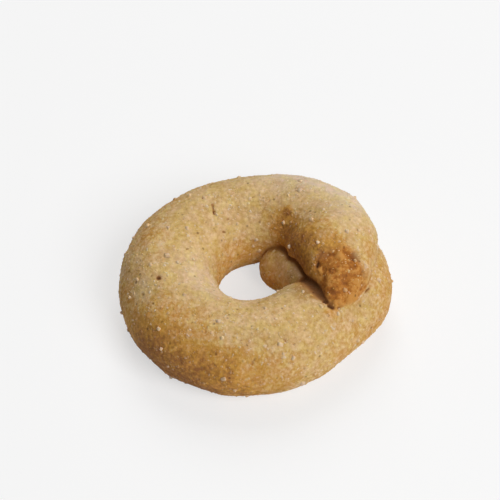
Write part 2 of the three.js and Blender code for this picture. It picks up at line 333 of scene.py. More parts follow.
class Rope:
    """The rope of dough in millimetres: its sections, its skin and where a point lies on it."""

    def __init__(self, sizes):
        lengths = (
            "ring_x ring_y ring_long ring_short half_width half_height middle bulge climb nick "
            "stub_x stub_y stub_tip stub_root stub_top lumps"
        )
        for name in lengths.split():
            setattr(self, name, getattr(sizes, name) / MILLIMETRE)
        self.ring_lean = sizes.ring_lean
        self.taper = sizes.taper
        self.face_lean = math.tan(sizes.face_lean)
        self.face_turn = math.tan(sizes.face_turn)
        self.swellings = ((FRONT, sizes.front_swell), (LEFT, sizes.left_swell), (BACK, sizes.back_swell))
        self.straight_angle = math.radians(-STRAIGHT_START)
        self.straight_step = math.radians(float(self.ring_reach(STRAIGHT_START)))
        self.stub_angle = math.radians(STUB_TURN)

    def ring_reach(self, bearing):
        """From the ring's middle to its oval."""
        turn = np.radians(-bearing) - self.ring_lean
        return 1 / np.hypot(np.cos(turn) / self.ring_long, np.sin(turn) / self.ring_short)

    def swelling(self, bearing):
        """Size of the rope as a share of its plain size."""
        return 1 + sum(size * hump(bearing, at, SWELL_SPREAD) for at, size in self.swellings)

    def lower(self, bearing):
        """Section of the lower strand."""
        closing = portion(LOWER_END + LOWER_ROUNDING, LOWER_END, bearing)
        size = self.swelling(bearing) * rounded(closing)
        reach = self.ring_reach(bearing) + self.bulge * hump(bearing, BULGE_BEARING, BULGE_SPREAD)
        wide, high = self.half_width * size, self.half_height * size
        upright = 0 * bearing
        return Section(reach, self.middle + upright, wide, high, upright, upright)

    def upper(self, bearing):
        """Section of the upper strand, which climbs, tapers and ends in a blunt face."""
        closing = portion(UPPER_END - UPPER_ROUNDING, UPPER_END, bearing)
        taper = 1 - self.taper * portion(TAPER_START, UPPER_END, bearing) ** TAPER_POWER
        size = self.swelling(bearing) * taper * rounded(closing, UPPER_BLUNTNESS)
        lean = LEAN_REACH * ease(LEAN_START, UPPER_END, bearing)
        pinch = PINCH_REACH * hump(bearing, PINCH_BEARING, PINCH_SPREAD)
        leaning = ease(UPPER_END - FACE_LEAN_LENGTH, UPPER_END - UPPER_ROUNDING, bearing)
        turning = ease(UPPER_END - FACE_TURN_LENGTH, UPPER_END - UPPER_ROUNDING, bearing)
        reach = self.ring_reach(np.minimum(bearing, STRAIGHT_START)) + lean - pinch
        middle = self.middle + self.climb * ease(CLIMB_START, CLIMB_END, bearing)
        high = self.half_height * size * (1 - THINNING_SHARE * ease(THINNING_START, THINNING_END, bearing))
        lean_step = leaning * self.face_lean / self.straight_step
        turn_step = turning * self.face_turn / self.straight_step
        return Section(reach, middle, self.half_width * size, high, lean_step, turn_step)

    def stub(self, along):
        """Section of the stub, which grows into a saddle at its root."""
        closing = rounded(portion(STUB_ROUNDING, 0, along))
        saddle = ease(SADDLE_START, SADDLE_END, along)
        wide = (self.stub_tip + (self.stub_root - self.stub_tip) * saddle) * closing
        high = STUB_HALF_HEIGHT * closing
        middle = self.stub_top - STUB_HALF_HEIGHT + SADDLE_RISE * saddle
        upright = 0 * along
        return Section(SADDLE_SHIFT * saddle, middle, wide, high, upright, upright)

    def strand_spot(self, bearing, reach):
        """X and Y from a bearing and reach; past the ring's end the strand runs straight on."""
        angle = np.radians(-np.minimum(bearing, STRAIGHT_START))
        ahead = self.straight_step * np.maximum(bearing - STRAIGHT_START, 0)
        x = reach * np.cos(angle) + ahead * np.sin(angle)
        y = reach * np.sin(angle) - ahead * np.cos(angle)
        return self.ring_x + x, self.ring_y + y

    def stub_spot(self, along, side):
        """X and Y from a length along the stub and across it."""
        x = self.stub_x - along * math.cos(self.stub_angle) - side * math.sin(self.stub_angle)
        y = self.stub_y - along * math.sin(self.stub_angle) + side * math.cos(self.stub_angle)
        return self.ring_x + x, self.ring_y + y

    def lower_place(self, points):
        """Bearing and reach of points on the lower strand."""
        x, y = points[:, 0] - self.ring_x, points[:, 1] - self.ring_y
        return LOWER_END + (-np.degrees(np.arctan2(y, x)) - LOWER_END) % 360, np.hypot(x, y)

    def upper_place(self, points):
        """Bearing and reach of points on the upper strand, by its straight end where they lie beside it."""
        x, y = points[:, 0] - self.ring_x, points[:, 1] - self.ring_y
        ahead = x * math.sin(self.straight_angle) - y * math.cos(self.straight_angle)
        reach = x * math.cos(self.straight_angle) + y * math.sin(self.straight_angle)
        straight = (ahead > 0) & (reach > 0)
        bent = -np.degrees(np.arctan2(y, x)) % 360
        bearing = np.where(straight, STRAIGHT_START + ahead / self.straight_step, bent)
        return bearing, np.where(straight, reach, np.hypot(x, y))

    def stub_place(self, points):
        """Length along the stub and across it."""
        x, y = points[:, 0] - self.ring_x - self.stub_x, points[:, 1] - self.ring_y - self.stub_y
        along = -x * math.cos(self.stub_angle) - y * math.sin(self.stub_angle)
        return along, y * math.cos(self.stub_angle) - x * math.sin(self.stub_angle)

    def bodies(self):
        """The bodies that make the rope, by name."""
        return {
            "lower": Body(self.lower, self.strand_spot, self.lower_place, LOWER_END, STRAND_JOIN, 1),
            "upper": Body(self.upper, self.strand_spot, self.upper_place, STRAND_JOIN, UPPER_END, 1),
            "stub": Body(self.stub, self.stub_spot, self.stub_place, 0, STUB_LENGTH, -1),
        }

    def smooth(self, name, station, around):
        """Points of a body's plain skin, from stations and angles around its section."""
        body = self.bodies()[name]
        section = body.section(station)
        rise = section.high * np.sin(around)
        side = section.wide * np.cos(around)
        x, y = body.spot(station - section.lean * rise - section.turn * side, section.reach + side)
        return np.stack(np.broadcast_arrays(x, y, section.middle + rise), -1)

    def normal(self, name, station, around):
        """Normals of the plain skin, from two short steps on it."""
        probe = 0.01
        along = self.smooth(name, station + probe, around) - self.smooth(name, station - probe, around)
        across = self.smooth(name, station, around + probe) - self.smooth(name, station, around - probe)
        out = np.cross(across, along) * self.bodies()[name].sign
        return out / np.maximum(np.linalg.norm(out, axis=-1, keepdims=True), TINY)

    def dough(self, name, station, around):
        """Points of a body's skin with its low waves and the nick beside the face."""
        points = self.smooth(name, station, around)
        depth = self.lumps * waves(points, LUMP_WAVES, LUMP_LONGEST, LUMP_SHORTEST, LUMP_PHASE)
        if name == "upper":
            side = hump(np.degrees(around), NICK_AROUND, NICK_AROUND_SPREAD)
            depth = depth - self.nick * side * hump(station, NICK_BEARING, NICK_SPREAD)
        return points + self.normal(name, station, around) * depth[..., None]

    def upright_place(self, points):
        """Place on the upper strand with the lean and turn of its face taken out."""
        base, side = self.upper_place(points)
        station = base
        for _ in range(SETTLING_STEPS):
            section = self.upper(np.clip(station, STRAND_JOIN, UPPER_END))
            leaned = base + section.lean * (points[:, 2] - section.middle)
            station = (station + leaned + section.turn * (side - section.reach)) / 2
        return station, side

    def skin_level(self, name, points):
        """1 on a body's smooth skin, less inside it, and large past its ends."""
        place = self.upright_place if name == "upper" else self.bodies()[name].place
        return self.level(name, points, 0.0, *place(points))

    def level(self, name, points, clear, station, side):
        """The same from a point's place on the body, for a body made larger by a clearance."""
        body = self.bodies()[name]
        section = body.section(np.clip(station, body.first, body.last))
        wide, high = (np.maximum(half + clear, TINY) for half in (section.wide, section.high))
        value = np.hypot((side - section.reach) / wide, (points[:, 2] - section.middle) / high)
        return np.where((station < body.first) | (station > body.last), FAR_OUTSIDE, value)

    def covered(self, name, points, clear):
        """True where another body holds or nearly touches a point of this one."""
        others = [(other, body.place(points)) for other, body in self.bodies().items() if other != name]
        return np.min([self.level(other, points, clear, *place) for other, place in others], axis=0) < 1


def tube(rope, name, stations, tip, sectors):
    """Vertices and faces of one closed body: a tip, rings of points and a lid at the plain end."""
    around = np.arange(sectors) * 2 * math.pi / sectors
    rings = rope.dough(name, stations[:, None], around[None, :])
    lid = rings[-1].mean(axis=0)
    start = rope.smooth(name, np.array(float(tip)), np.array(0.0))
    points = np.concatenate([start[None], rings.reshape(-1, 3), lid[None]])
    faces = []
    last = 1 + (len(stations) - 1) * sectors
    for i in range(sectors):
        j = (i + 1) % sectors
        faces.append((0, 1 + j, 1 + i))
        faces.append((last + i, last + j, len(points) - 1))
        for k in range(1, last, sectors):
            faces.append((k + i, k + j, k + sectors + j, k + sectors + i))
    points[:, 2] = np.maximum(points[:, 2], 0)
    return points, faces


def station_run(end, rounding, plain_end, step):
    """Stations from a rounded end, close at its tip, then evenly to the plain end."""
    k = np.arange(1, CAP_RINGS + 1) / CAP_RINGS
    cap = end + rounding * (1 - np.cos(k * math.pi / 2))
    number = int(abs(plain_end - end - rounding) / step)
    return np.concatenate([cap, np.linspace(end + rounding, plain_end, number + 1)[1:]])


def joined_rope(rope):
    """One mesh of the overlapping bodies, before they are fused."""
    parts = (
        ("lower", LOWER_END, LOWER_ROUNDING, STRAND_JOIN + STRAND_OVERLAP, STRAND_STEP, STRAND_SECTORS),
        ("upper", UPPER_END, -UPPER_ROUNDING, STRAND_JOIN - STRAND_OVERLAP, STRAND_STEP, STRAND_SECTORS),
        ("stub", 0, STUB_ROUNDING, STUB_LENGTH, STUB_STEP, STUB_SECTORS),
    )
    points, faces = [], []
    total = 0
    for name, tip, rounding, plain_end, step, sectors in parts:
        some, sides = tube(rope, name, station_run(tip, rounding, plain_end, step), tip, sectors)
        faces.extend(tuple(total + v for v in side) for side in sides)
        points.append(some)
        total += len(some)
    mesh = bpy.data.meshes.new("dough_rope")
    mesh.from_pydata((np.concatenate(points) * MILLIMETRE).tolist(), [], faces)
    return mesh


def fused(mesh, voxel):
    """The mesh's bodies fused into one even skin."""
    holder = bpy.data.objects.new("dough_rope", mesh)
    bpy.context.scene.collection.objects.link(holder)
    melt = holder.modifiers.new("fuse", "REMESH")
    melt.mode = "VOXEL"
    melt.voxel_size = voxel
    melt.use_smooth_shade = True
    ready = holder.evaluated_get(bpy.context.evaluated_depsgraph_get())
    skin = bpy.data.meshes.new_from_object(ready)
    bpy.data.objects.remove(holder)
    bpy.data.meshes.remove(mesh)
    return skin


def read_vectors(mesh, name):
    """Places or normals of a mesh's vertices."""
    values = np.empty(len(mesh.vertices) * 3)
    mesh.vertices.foreach_get(name, values)
    return values.reshape(-1, 3)


def write_points(mesh, points):
    """Moves a mesh's vertices to places in millimetres."""
    mesh.vertices.foreach_set("co", (points * MILLIMETRE).ravel())
    mesh.update()


def write_mask(mesh, name, values):
    """Keeps a number for each vertex, for the shaders."""
    layer = mesh.attributes.new(name, "FLOAT", "POINT")
    layer.data.foreach_set("value", np.asarray(values, dtype=np.float32))


def read_mask(mesh, name):
    """The numbers of such a mask."""
    values = np.empty(len(mesh.vertices), dtype=np.float32)
    mesh.attributes[name].data.foreach_get("value", values)
    return values


# Values of the crust. Bearings and angles around the section are in degrees, heights, lengths and places
# across in millimetres. Facing is 1 straight out from the ring's middle. A level is 1 on a body's skin and
# more outside it. Two numbers in brackets are the range over which something comes in, or for a SIDE
# the middle and the spread of a hump.

# Noise in layers: length of its bumps, seed and strength.
RAGGED_RIM = ((2.4, 11, 1.6), (1.1, 12, 1.0))
BLOTCHES = ((6.0, 21, 0.16), (2.6, 22, 0.12))
CRUMBS = ((2.3, 31, 1.0), (1.15, 32, 0.9), (0.62, 33, 0.7))
CRAGS = ((2.3, 41, 0.55), (1.25, 42, 0.5), (0.75, 43, 0.5))
CRACK_LENGTH = 2.0
CRACK_SEED = 44
CRACK_WIDTHS = (0.0, 0.3)
CRACK_DEPTH = 0.15

# The torn face starts at a ragged rim, which runs further along the rope and is softer at the outer side.
TORN_START = 376.5
TORN_TURN = 16
TORN_TURN_ANGLES = (30, 95)
TORN_SOFTNESS = 2.5
TORN_FADE = 3.0
TORN_FADE_ANGLES = (50, 120)
TORN_LEFT = 5
TORN_BACK = 5
TORN_CLEAR_LEVELS = (1.03, 1.09)
OFF_LOWER_LEVELS = (1.015, 1.05)

# Outer sides that browned: bearing, spread and how far.
HOT_SIDES = ((114, 60, 0.55), (136, 52, 0.66), (10, 50, 0.34), (222, 48, 0.45), (46, 26, 0.14))
HOT_LEAST = 0.1
HOT_FACING = (0.18, 0.92)
HOT_FADE = 0.45
HOT_FADE_HEIGHTS = (4, 16)
LEFT_BAKE = 0.48
LEFT_SIDE = (140, 48)
LEFT_FACING = (-0.1, 0.55)
INNER_BAKE = 0.34
INNER_FACING = (0.35, 1)
INNER_HEIGHTS = (6, 15)
SOLE_BAKE = 0.5
SOLE_HEIGHTS = (0.0, 0.8)

# The upper strand's flank over the hole, whose edge turns towards the torn face, and the rim of that face.
FLANK_BAKE = 0.85
FLANK_SIDE = (353, 68)
FLANK_ANGLES = (106, 142)
FLANK_TURN = 28
FLANK_TURN_BEARINGS = (362, 384)
FLANK_DIP = 5
FLANK_DIP_SIDE = (334, 24)
RIM_BAKE = 0.6
RIM_BEARINGS = (358, 374)
RIM_ANGLES = (72, 108)
UNDERSIDE_ANGLES = (215, 235)

# The stub and its tip, and painted shadow on the lower strand beside the upper one.
STUB_LEVELS = (1.0, 1.12)
TIP_BAKE = 0.1
TIP_LOW_BAKE = 0.3
TIP_LENGTHS = (2, 6)
TIP_HEIGHTS = (5, 10)
SHADE_BAKE = 0.7
SHADE_FADE = 0.45
SHADE_FADE_PLACES = (13, 17)
SHADE_PLACES = (6, 8)
SHADE_LEVELS = (1.0, 1.9)
SHADE_REACHES = (-1, 3)

# Where the crust stayed pale: the outer back, the left of the hole and the top of the stub.
BACK_FROST = 0.9
BACK_SIDE = (310, 54)
BACK_FACING = (-0.2, 0.6)
BACK_HEIGHTS = (3, 9)
HOLE_FROST = 0.35
HOLE_SIDE = (152, 55)
HOLE_FACING = (-0.1, 0.5)
HOLE_HEIGHTS = (8, 13)
STUB_FROST = 0.58
STUB_FROST_LENGTHS = (6, 10)
STUB_FROST_HEIGHTS = (7, 10)
BLOTCH_LEAST = 0.3

# Patches that browned, or stayed pale, on their own, and one of painted shade: body, bearing or length along
# the stub, angle around the section, radius and how far.
PATCHES = (
    ("upper", 304.9, 122.5, 1.2, 1.0),
    # Painted shade in the corner where the upper strand rises from the ring.
    ("upper", 301.0, 146.0, 3.2, 0.52),
    ("upper", 350.0, 111.0, 3.6, 0.3),
    ("upper", 371.5, 144.0, 1.3, -0.45),
    ("upper", 375.5, 135.0, 1.3, 0.55),
    ("lower", 116.0, 29.0, 3.2, 0.14),
    ("lower", 104.5, 27.0, 3.0, 0.16),
    ("lower", 112.0, 2.0, 3.4, -0.22),
    ("lower", 152.0, 14.0, 4.0, -0.2),
    ("lower", 159.4, 59.0, 3.4, -0.5),
    ("upper", 191.9, 72.0, 4.5, 0.2),
    ("lower", 26.0, 30.0, 6.0, -0.2),
)

# Painted shade beside the crease and on the stub, given like the patches: a darker, duller colour mixed into
# the crust where it lies in shade.
PAINTED_SHADE_PATCHES = (
    ("lower", 41.2, 98.0, 2.6, 0.46),
    ("lower", 41.2, 113.0, 2.2, 0.24),
    ("lower", 52.8, 130.0, 2.4, 0.22),
    ("stub", 6.3, 45.0, 2.4, 0.28),
)

# Browner spots of the torn face, given like the patches, and how much paler it is low down.
BROWN_SPOTS = (
    ("upper", 396.2, 152.0, 1.3, -1.0),
    ("upper", 376.5, 135.0, 1.3, -0.8),
    ("upper", 394.8, 97.5, 0.9, -0.6),
    ("upper", 386.6, 124.5, 1.0, -0.5),
)
FACE_LIGHT = 0.7
FACE_HEIGHTS = (15.5, 20)

# Pits and short cracks that show most: body, bearing, angle around the section, radius, length
# along the rope, length around it, and how dark their painted shade is.
MARKS = (
    ("lower", 160.9, 76, 0.6, 0.0, 0.0, 1.0),
    ("lower", 73.2, 55.5, 0.24, 0.3, 0.7, 0.6),
    ("lower", 90.0, 35, 0.22, 0.0, 0.6, 0.6),
    ("lower", 107.1, 28.5, 0.24, 0.4, 0.2, 0.6),
    ("upper", 237.2, 99.5, 0.24, -1.2, 2.4, 0.7),
    ("upper", 235.6, 105.5, 0.34, -0.2, 0.5, 0.9),
    ("upper", 233.8, 133.5, 0.24, 0.4, 0.3, 0.6),
    ("upper", 244.3, 121, 0.22, 0.4, 0.0, 0.5),
    ("upper", 186.3, 111.5, 0.22, 0.3, 0.2, 0.6),
    ("lower", 115.4, 67, 0.2, 0.3, 1.5, 0.5),
    ("lower", 40.8, 65.5, 0.5, 0.3, 0.8, 1.0),
    ("lower", 40.2, 71, 0.5, 0.8, 1.2, 0.6),
    ("lower", 36.0, 58.6, 0.34, 1.8, 0.1, 0.55),
    ("lower", 30.2, 55.6, 0.34, 1.6, 0.2, 0.55),
    ("lower", 24.5, 53.0, 0.28, 1.2, 0.2, 0.5),
    ("lower", 18.4, 51.0, 0.28, 1.2, 0.2, 0.6),
    ("upper", 376.9, 148, 0.42, 0.1, 0.6, 1.0),
    ("upper", 375, 133, 0.2, 0.6, 1.9, 0.5),
)

# Pinholes at drawn places: how dark their painted shade is, their radii and the spread of their lengths. A
# groove is darkest within the first of its radii and ends at the second.
PIT_SEED = 51
PIT_DARKNESS = 0.55
PIT_RADII = (0.12, 0.2)
PIT_STROKE = 0.2
GROOVE_RADII = (0.3, 1.5)
GROOVE_LONGEST = 3

# The crease is wider in the hole, and fades out to the right and to the left of the crossing; it is also
# painted shade.
CREASE_GAP = 0.01
CREASE_WIDTH = 0.16
CREASE_INNER_WIDTH = 0.6
CREASE_INNER_PLACES = (14, 18)
CREASE_RIGHT_FADE = 0.9
CREASE_RIGHT_PLACES = (16.5, 20.5)
CREASE_LEFT_FADE = 0.4
CREASE_LEFT_PLACES = (4, 8)
BESIDE_UPPER_LEVELS = (1.05, 1.45)
CREASE_PAINTED_SHADE = 0.9

# The relief has less crumb on the torn face, and starts a little over the sole.
TORN_CRUMB_LOSS = 0.3
RELIEF_HEIGHTS = (0.15, 1.2)


def off_lower(rope, points):
    """0 on the lower strand, 1 a little clear of it."""
    return ease(*OFF_LOWER_LEVELS, rope.skin_level("lower", points))


def upper_angle(rope, points):
    """Station on the upper strand and angle around its section, in degrees from its outer side."""
    station, side = rope.upright_place(points)
    section = rope.upper(np.clip(station, STRAND_JOIN, UPPER_END - 1))
    rise = (points[:, 2] - section.middle) / section.high
    return station, np.degrees(np.arctan2(rise, (side - section.reach) / section.wide)) % 360


def layered(points, layers):
    """Sum of layers of noise."""
    return sum(strength * lattice(points, length, seed) for length, seed, strength in layers)


def torn_mask(rope, points):
    """1 on the torn face of the upper end, 0 elsewhere."""
    x, y, z = points.T
    station, around = upper_angle(rope, points)
    soft = TORN_SOFTNESS + TORN_FADE * (1 - ease(*TORN_FADE_ANGLES, around))
    rim = TORN_START + TORN_TURN * (1 - ease(*TORN_TURN_ANGLES, around))
    near = (x > TORN_LEFT) & (y < TORN_BACK) & (z > rope.middle)
    clear = ease(*TORN_CLEAR_LEVELS, rope.skin_level("lower", points))
    return np.where(near, ease(-soft, soft, station - rim + layered(points, RAGGED_RIM)), 0) * clear


def patch_field(rope, points, patches):
    """Sum of some patches at each point."""
    total = np.zeros(len(points))
    for name, station, around, radius, far in patches:
        spot = rope.dough(name, np.array(station), np.radians(around))
        total += far * np.exp(-((points - spot) ** 2).sum(axis=1) / radius**2)
    return total


def outer_bake(bearing, outward, height):
    """Browning of the outer side, most low at the front left."""
    hot = HOT_LEAST + sum(far * hump((bearing - at + 180) % 360, 180, wide) for at, wide, far in HOT_SIDES)
    hot = hot * ease(*HOT_FACING, outward) * (1 - HOT_FADE * ease(*HOT_FADE_HEIGHTS, height))
    left = LEFT_BAKE * hump(bearing, *LEFT_SIDE) * ease(*LEFT_FACING, outward)
    return np.maximum(hot, left)


def inner_bake(rope, points, outward):
    """Browning low in the hole, on the upper strand's flank over it and at the rim of the torn face."""
    hole = INNER_BAKE * ease(*INNER_FACING, -outward) * (1 - ease(*INNER_HEIGHTS, points[:, 2]))
    station, around = upper_angle(rope, points)
    turned = around + FLANK_TURN * ease(*FLANK_TURN_BEARINGS, station)
    turned -= FLANK_DIP * hump(station, *FLANK_DIP_SIDE)
    flank = FLANK_BAKE * hump(station, *FLANK_SIDE) * ease(*FLANK_ANGLES, turned)
    rim = RIM_BAKE * ease(*RIM_BEARINGS, station) * ease(*RIM_ANGLES, around)
    above = off_lower(rope, points) * (1 - ease(*UNDERSIDE_ANGLES, around))
    return np.maximum(hole, above * np.maximum(flank, rim))


def shade_bake(rope, points, reach):
    """Painted shadow of the upper strand on the lower one, on the side of the hole, given as browning of the
    crust.
    """
    x = points[:, 0]
    inside = 1 - ease(*SHADE_REACHES, reach)
    beside = (1 - off_lower(rope, points)) * (1 - ease(*SHADE_LEVELS, rope.skin_level("upper", points)))
    return beside * inside * ease(*SHADE_PLACES, x) * (SHADE_BAKE - SHADE_FADE * ease(*SHADE_FADE_PLACES, x))


def ring_frost(bearing, outward, height):
    """How pale the crust stayed at the outer back and at the left of the hole."""
    back = hump(bearing, *BACK_SIDE) * ease(*BACK_FACING, outward) * ease(*BACK_HEIGHTS, height)
    hole = hump(bearing, *HOLE_SIDE) * ease(*HOLE_FACING, -outward) * ease(*HOLE_HEIGHTS, height)
    return BACK_FROST * back + HOLE_FROST * hole


def bake_and_shade_mask(rope, points, normals):
    """How far the crust browned, up to 1, and below 0 where it stayed pale; beside the upper strand and in
    one corner it is painted shade.
    """
    x, y = points[:, 0] - rope.ring_x, points[:, 1] - rope.ring_y
    height = points[:, 2]
    reach = np.maximum(np.hypot(x, y), TINY)
    outward = (normals[:, 0] * x + normals[:, 1] * y) / reach
    bearing = -np.degrees(np.arctan2(y, x)) % 360
    stub = 1 - ease(*STUB_LEVELS, rope.skin_level("stub", points))
    along = rope.stub_place(points)[0]
    low_tip = TIP_BAKE + TIP_LOW_BAKE * (1 - ease(*TIP_HEIGHTS, height))
    parts = [
        outer_bake(bearing, outward, height),
        inner_bake(rope, points, outward) * (1 - stub),
        # Painted shadow of the upper strand on the lower one, as browning.
        shade_bake(rope, points, reach - rope.ring_reach(bearing)),
        stub * (1 - ease(*TIP_LENGTHS, along)) * low_tip,
        SOLE_BAKE * (1 - ease(*SOLE_HEIGHTS, height)),
    ]
    most = np.max(parts, axis=0) + patch_field(rope, points, PATCHES)
    frost = ring_frost(bearing, outward, height)
    frost += STUB_FROST * stub * ease(*STUB_FROST_LENGTHS, along) * ease(*STUB_FROST_HEIGHTS, height)
    blotch = layered(points, BLOTCHES) * (BLOTCH_LEAST + np.abs(most))
    return np.clip(most + blotch - frost, -1, 1)


def face_light(rope, points):
    """How much paler the torn face is below, and how much browner in spots."""
    return FACE_LIGHT * (1 - ease(*FACE_HEIGHTS, points[:, 2])) + patch_field(rope, points, BROWN_SPOTS)


def crag_field(points):
    """Crumbs and hollows of torn dough, from about -1 to 1."""
    cracks = 1 - ease(*CRACK_WIDTHS, np.abs(lattice(points, CRACK_LENGTH, CRACK_SEED)))
    return layered(points, CRAGS) - CRACK_DEPTH * cracks


def groove(points, centre, stroke, radius):
    """1 along a short stroke through a spot, falling to 0 beside it."""
    near = np.flatnonzero(np.abs(points - centre).max(axis=1) < GROOVE_LONGEST)
    away = points[near] - centre
    length = float(stroke @ stroke)
    along = np.clip(away @ stroke / length, -0.5, 0.5) if length > TINY else np.zeros(len(near))
    gap = np.linalg.norm(away - along[:, None] * stroke, axis=1)
    values = np.zeros(len(points))
    values[near] = 1 - ease(GROOVE_RADII[0] * radius, GROOVE_RADII[1] * radius, gap)
    return values


def mark_field(rope, points, pits):
    """Painted shade in pits and cracks: 1 in the darkest, falling to 0 at their rims."""
    field = np.zeros(len(points))
    step, turn = 0.5, 0.02
    for name, bearing, around, radius, along, across, dark in MARKS:
        station, angle = np.array(bearing), np.radians(around)
        centre = rope.dough(name, station, angle)
        ahead = rope.dough(name, station + step, angle) - rope.dough(name, station - step, angle)
        turned = rope.dough(name, station, angle + turn) - rope.dough(name, station, angle - turn)
        stroke = along * ahead / np.linalg.norm(ahead) + across * turned / np.linalg.norm(turned)
        field = np.maximum(field, dark * groove(points, centre, stroke, radius))
    draw = np.random.default_rng(PIT_SEED)
    picks = draw.integers(0, len(points), pits)
    radii = draw.uniform(*PIT_RADII, pits)
    strokes = draw.normal(0, PIT_STROKE, (pits, 3))
    for pick, radius, stroke in zip(picks, radii, strokes):
        field = np.maximum(field, PIT_DARKNESS * groove(points, points[pick], stroke, radius))
    return field


def crease_mask(rope, points):
    """1 in the crease where the upper strand meets another body, fading out to the sides."""
    x = points[:, 0]
    upper = rope.skin_level("upper", points)
    gaps = np.sort([np.abs(rope.skin_level(name, points) - 1) for name in rope.bodies()], axis=0)
    inner = (1 - ease(*CREASE_INNER_PLACES, x)) * (1 - off_lower(rope, points))
    crease = 1 - ease(CREASE_GAP, CREASE_WIDTH + CREASE_INNER_WIDTH * inner, gaps[1])
    right = 1 - CREASE_RIGHT_FADE * ease(*CREASE_RIGHT_PLACES, x)
    left = 1 - CREASE_LEFT_FADE * (1 - ease(*CREASE_LEFT_PLACES, x))
    return crease * right * left * (1 - ease(*BESIDE_UPPER_LEVELS, upper))


# Shaders. Noise scales count features in a metre. Nodes stand in columns, each right of what feeds it.
NODE_WIDTH = 220
NODE_HEIGHT = 280
MIX_FIRST = 6
MIX_SECOND = 7
MIX_RESULT = 2
COLOUR_SOCKET = "NodeSocketColor"
VALUE_SOCKET = "NodeSocketFloat"
CRUST_TONES = ("Frost", "Pale", "Gold", "Toast", "Brown")
YELLOW_CAST = (1.0, 1.02, 0.72)
PINK_CAST = (1.02, 0.97, 1.16)
SPECK_STRENGTH = 0.6
GRIT_STRENGTH = 2.6
BUMP_STRENGTH = 0.8
BUMP_DISTANCE = 0.2
UNDER_SKIN = (1.0, 0.6, 0.35)
FLOOR_SHADE = (0.8, 0.8, 0.8)
FLOOR_LIFT = 0.6


class Wiring:
    """A shader tree while it is built: adds nodes, feeds their inputs and places them."""

    def __init__(self, tree):
        self.tree = tree
        self.rows = {}

    def feed(self, made, inputs):
        """Fills a node's inputs from other nodes or with values, and puts it right of those nodes."""
        x = 0
        for key, value in inputs.items():
            socket = made.inputs[key]
            if isinstance(value, bpy.types.NodeSocket):
                self.tree.links.new(value, socket)
                x = max(x, value.node.location.x + NODE_WIDTH)
            else:
                socket.default_value = (*value, 1) if socket.type == "RGBA" else value
        self.rows[x] = self.rows.get(x, 0) + 1
        made.location = (x, -NODE_HEIGHT * self.rows[x])
        return made.outputs

    def add(self, kind, inputs, **settings):
        """Adds a node with its own settings and feeds it; gives its outputs."""
        made = self.tree.nodes.new(kind)
        for name, value in settings.items():
            setattr(made, name, value)
        return self.feed(made, inputs)

    def spot(self):
        """Place on the object, from one node a tree."""
        found = self.tree.nodes.get("Spot")
        return (found.outputs if found else self.add("ShaderNodeTexCoord", {}, name="Spot"))["Object"]

    def mask(self, name):
        """One of the mesh's masks."""
        return self.add("ShaderNodeAttribute", {}, attribute_name=name, attribute_type="GEOMETRY")["Fac"]

    def noise(self, scale, detail, roughness, layer=0):
        """Cloudy noise; each layer is a pattern of its own."""
        inputs = {"Vector": self.spot(), "W": layer, "Scale": scale, "Detail": detail, "Roughness": roughness}
        return self.add("ShaderNodeTexNoise", inputs, noise_dimensions="4D")["Fac"]

    def cells(self, scale):
        """Distance to the nearest of many scattered spots."""
        inputs = {"Vector": self.spot(), "Scale": scale}
        return self.add("ShaderNodeTexVoronoi", inputs, feature="F1")["Distance"]

    def spread(self, value, low, high, out_low=0.0, out_high=1.0):
        """A value taken from one range to another and held there."""
        inputs = {"Value": value, "From Min": low, "From Max": high, "To Min": out_low, "To Max": out_high}
        return self.add("ShaderNodeMapRange", inputs, clamp=True)["Result"]

    def maths(self, operation, first, second, clamp=False):
        """Two values added, subtracted or multiplied."""
        inputs = {0: first, 1: second}
        return self.add("ShaderNodeMath", inputs, operation=operation, use_clamp=clamp)["Value"]

    def weighted(self, first, weight, second, other_weight):
        """Sum of two values, each times its weight."""
        one = self.maths("MULTIPLY", first, weight)
        return self.maths("ADD", one, self.maths("MULTIPLY", second, other_weight))

    def blend(self, amount, first, second, how="MIX"):
        """Two colours mixed, each a socket or three numbers."""
        inputs = {"Factor": amount, MIX_FIRST: first, MIX_SECOND: second}
        return self.add("ShaderNodeMix", inputs, data_type="RGBA", blend_type=how)[MIX_RESULT]

    def group(self, name, make, inputs):
        """A shared group, made the first time that it is asked for."""
        return self.add("ShaderNodeGroup", inputs, node_tree=bpy.data.node_groups.get(name) or make(name))


def new_group(name, inputs, outputs):
    """Wiring of an empty group whose sockets are given by name and kind."""
    tree = bpy.data.node_groups.new(name, "ShaderNodeTree")
    for way, sockets in (("INPUT", inputs), ("OUTPUT", outputs)):
        for socket, kind in sockets.items():
            tree.interface.new_socket(socket, in_out=way, socket_type=kind)
    return Wiring(tree)


